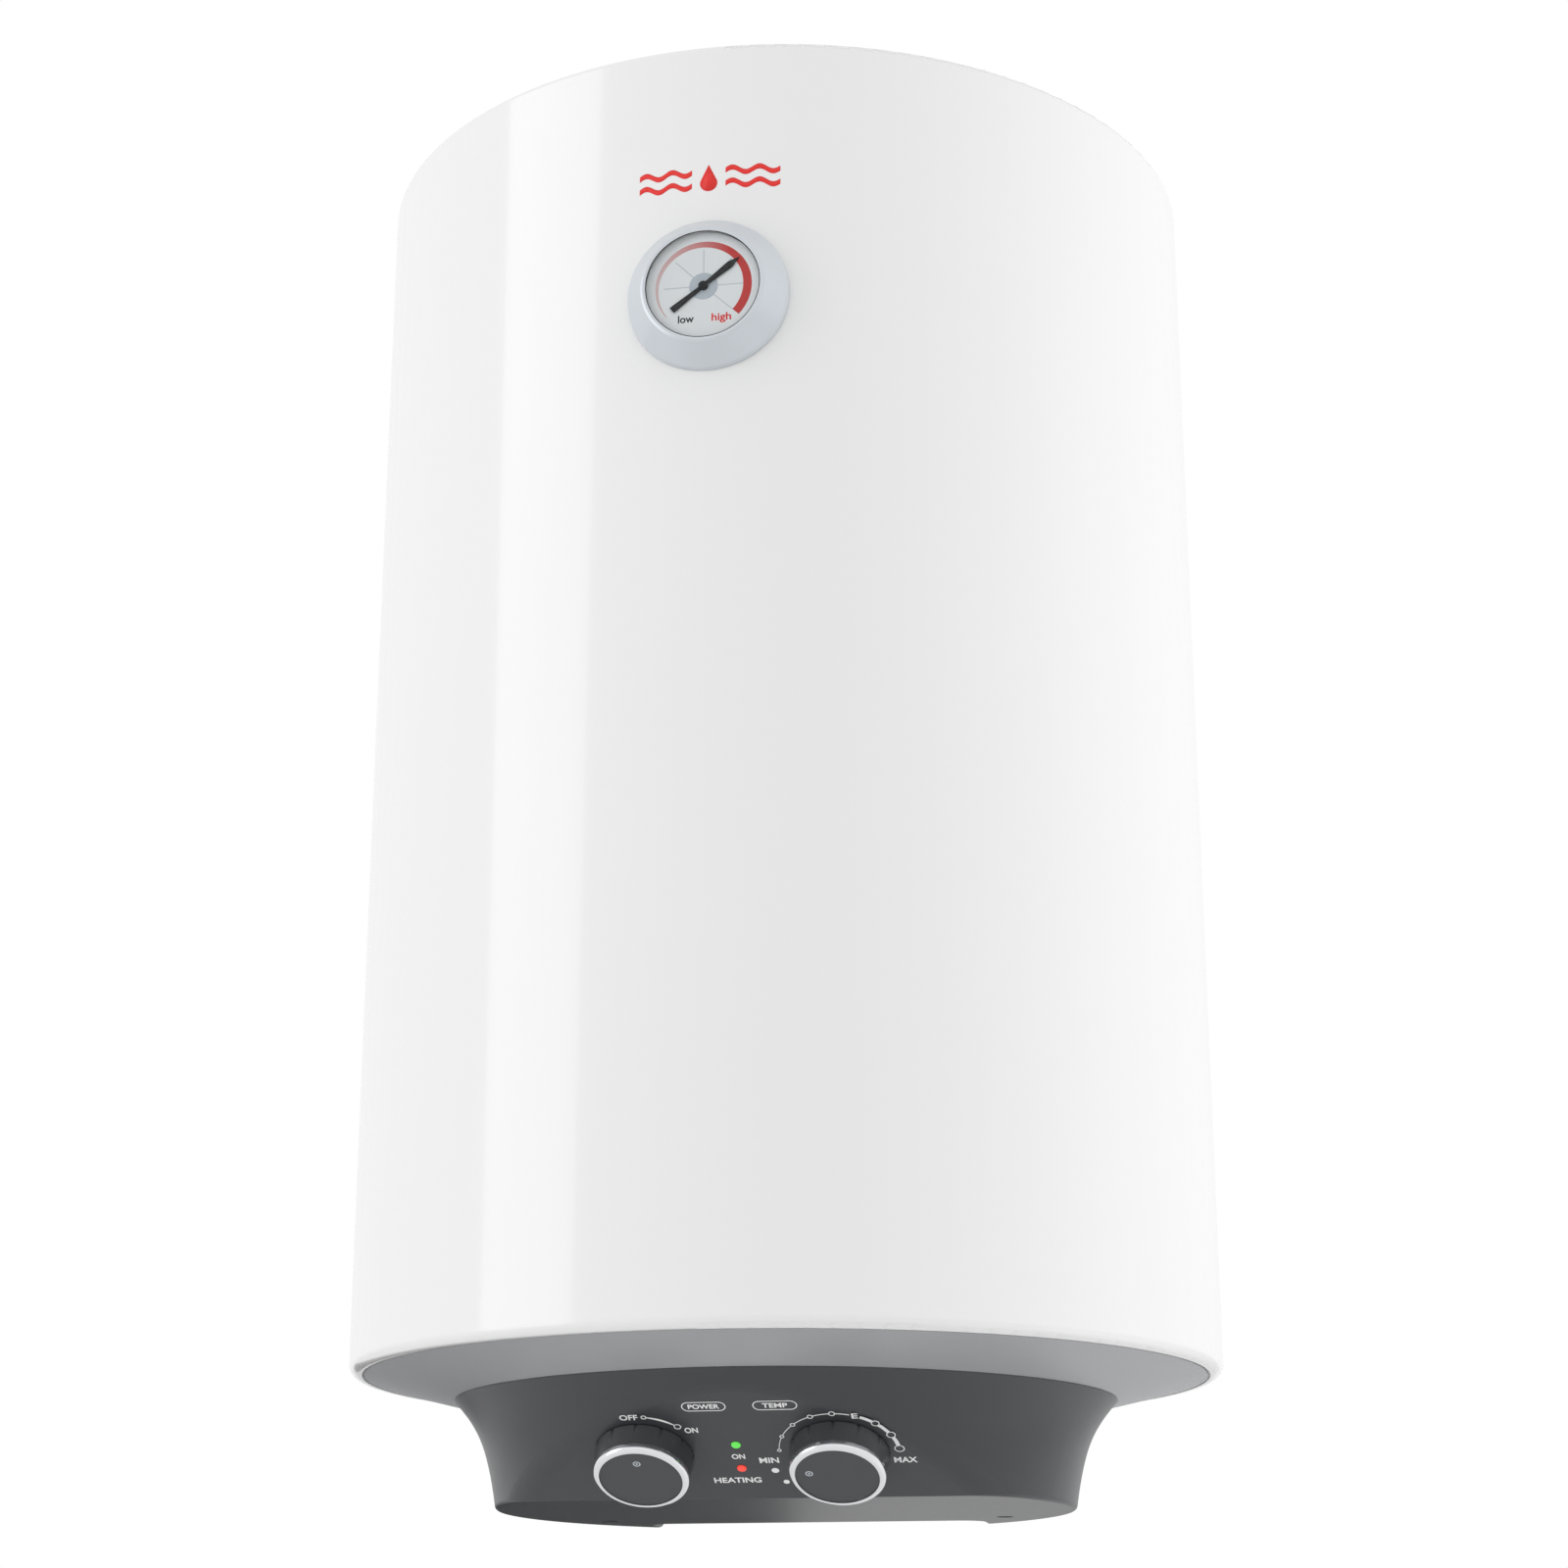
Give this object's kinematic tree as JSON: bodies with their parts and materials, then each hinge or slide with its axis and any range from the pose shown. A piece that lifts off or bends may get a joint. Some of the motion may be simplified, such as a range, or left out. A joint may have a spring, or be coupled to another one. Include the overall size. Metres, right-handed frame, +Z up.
{
  "type": "tank water heater",
  "caption": "Wall-hung electric storage water heater: round white jacket, front thermometer, dark lower control cover with knobs and lamps, pipe stubs underneath.",
  "frame": {"origin": "middle of the hanger bracket's two slots, on the face that meets the wall", "axes": "+Z up along the tank, +Y into the wall, front faces -Y, +X to the right seen from the front"},
  "size_m": [0.39, 0.4158, 0.6433],
  "materials": {
    "white_enamel": "gloss white baked enamel",
    "white_lid": "satin white plastic",
    "grey_cap": "satin mid-grey plastic",
    "dark_cover": "satin dark grey plastic",
    "dark_knob": "satin dark grey plastic",
    "chrome_band": "polished chrome",
    "silver_bezel": "satin silver-white lacquer",
    "dial_white": "printed white",
    "needle_black": "matte black",
    "clear_window": "clear",
    "green_lens": "translucent green",
    "red_lens": "translucent red",
    "tank_steel": "enamelled steel",
    "zinc_steel": "zinc plated",
    "stainless": "bright stainless",
    "foam": "rigid foam",
    "rubber_black": "moulded rubber",
    "copper": "drawn copper",
    "brass_part": "turned brass",
    "anode_metal": "cast magnesium",
    "blue_plastic": "moulded blue",
    "red_plastic": "moulded red",
    "black_plastic": "moulded black",
    "ivory_plastic": "moulded ivory",
    "board_green": "circuit board",
    "wire_brown": "soft sleeve",
    "wire_blue": "soft sleeve",
    "wire_green": "soft sleeve"
  },
  "bodies": {
    "heater": {"outer_jacket": "white_enamel", "top_cap": "white_lid", "bottom_cap": "grey_cap", "tank_shell": "tank_steel", "tank_top_dome": "tank_steel", "tank_bottom_dome": "tank_steel", "tank_posts": "zinc_steel", "foam_insulation": "foam", "flange_collar": "tank_steel", "flange_studs": "zinc_steel", "flange_gasket": "rubber_black", "flange_plate": "tank_steel", "flange_nuts": "zinc_steel", "heating_element": "stainless", "element_terminals": "zinc_steel", "magnesium_anode": "anode_metal", "anode_stud": "zinc_steel", "thermowell": "stainless", "earth_stud": "brass_part", "cold_inlet_pipe": "zinc_steel", "hot_outlet_pipe": "zinc_steel", "inlet_diffuser": "ivory_plastic", "hot_dip_tube": "stainless", "cold_collar": "blue_plastic", "hot_collar": "red_plastic", "hanger_bracket": "zinc_steel", "bracket_bolts": "zinc_steel", "lower_spacer": "black_plastic", "control_cover": "dark_cover", "cover_screws": "zinc_steel", "cable_gland": "black_plastic", "power_switch_body": "ivory_plastic", "thermostat_body": "ivory_plastic", "thermostat_capillary": "copper", "cutout_capillary": "copper", "green_lamp_lens": "green_lens", "red_lamp_lens": "red_lens", "lamp_board": "board_green", "cutout_body": "ivory_plastic", "terminal_block": "ivory_plastic", "terminal_screws": "brass_part", "lead_live": "wire_brown", "lead_neutral": "wire_blue", "lead_earth": "wire_green", "element_leads": "wire_brown", "gauge_case": "white_lid", "gauge_dial": "dial_white", "gauge_lens": "clear_window", "gauge_bezel": "silver_bezel", "gauge_stem": "brass_part"},
    "power_knob": {"power_knob_body": "dark_knob", "power_knob_ring": "chrome_band", "power_knob_face": "dark_knob", "power_spindle": "stainless"},
    "temperature_knob": {"temperature_knob_body": "dark_knob", "temperature_knob_ring": "chrome_band", "temperature_knob_face": "dark_knob", "temperature_spindle": "stainless"},
    "gauge_needle": {"gauge_needle": "needle_black"},
    "reset_button": {"reset_button": "red_plastic"}
  },
  "joints": [
    {"name": "power_turn", "type": "hinge", "parent": "heater", "child": "power_knob", "pos_m": [-0.041, -0.31461, -0.46062], "axis": [0, 0.5387, 0.8425], "range_deg": [0, 45]},
    {"name": "temperature_turn", "type": "hinge", "parent": "heater", "child": "temperature_knob", "pos_m": [0.041, -0.31461, -0.46062], "axis": [0, 0.5387, 0.8425], "range_deg": [-50, 172]},
    {"name": "needle_turn", "type": "hinge", "parent": "heater", "child": "gauge_needle", "pos_m": [0, -0.413, 0.023], "axis": [0, 1, 0], "range_deg": [-182, 81]},
    {"name": "reset_push", "type": "slide", "parent": "heater", "child": "reset_button", "axis": [0, 0, 1], "range_m": [0, 0.002], "stiffness_N_per_m": 400, "springref_m": -0.001}
  ]
}
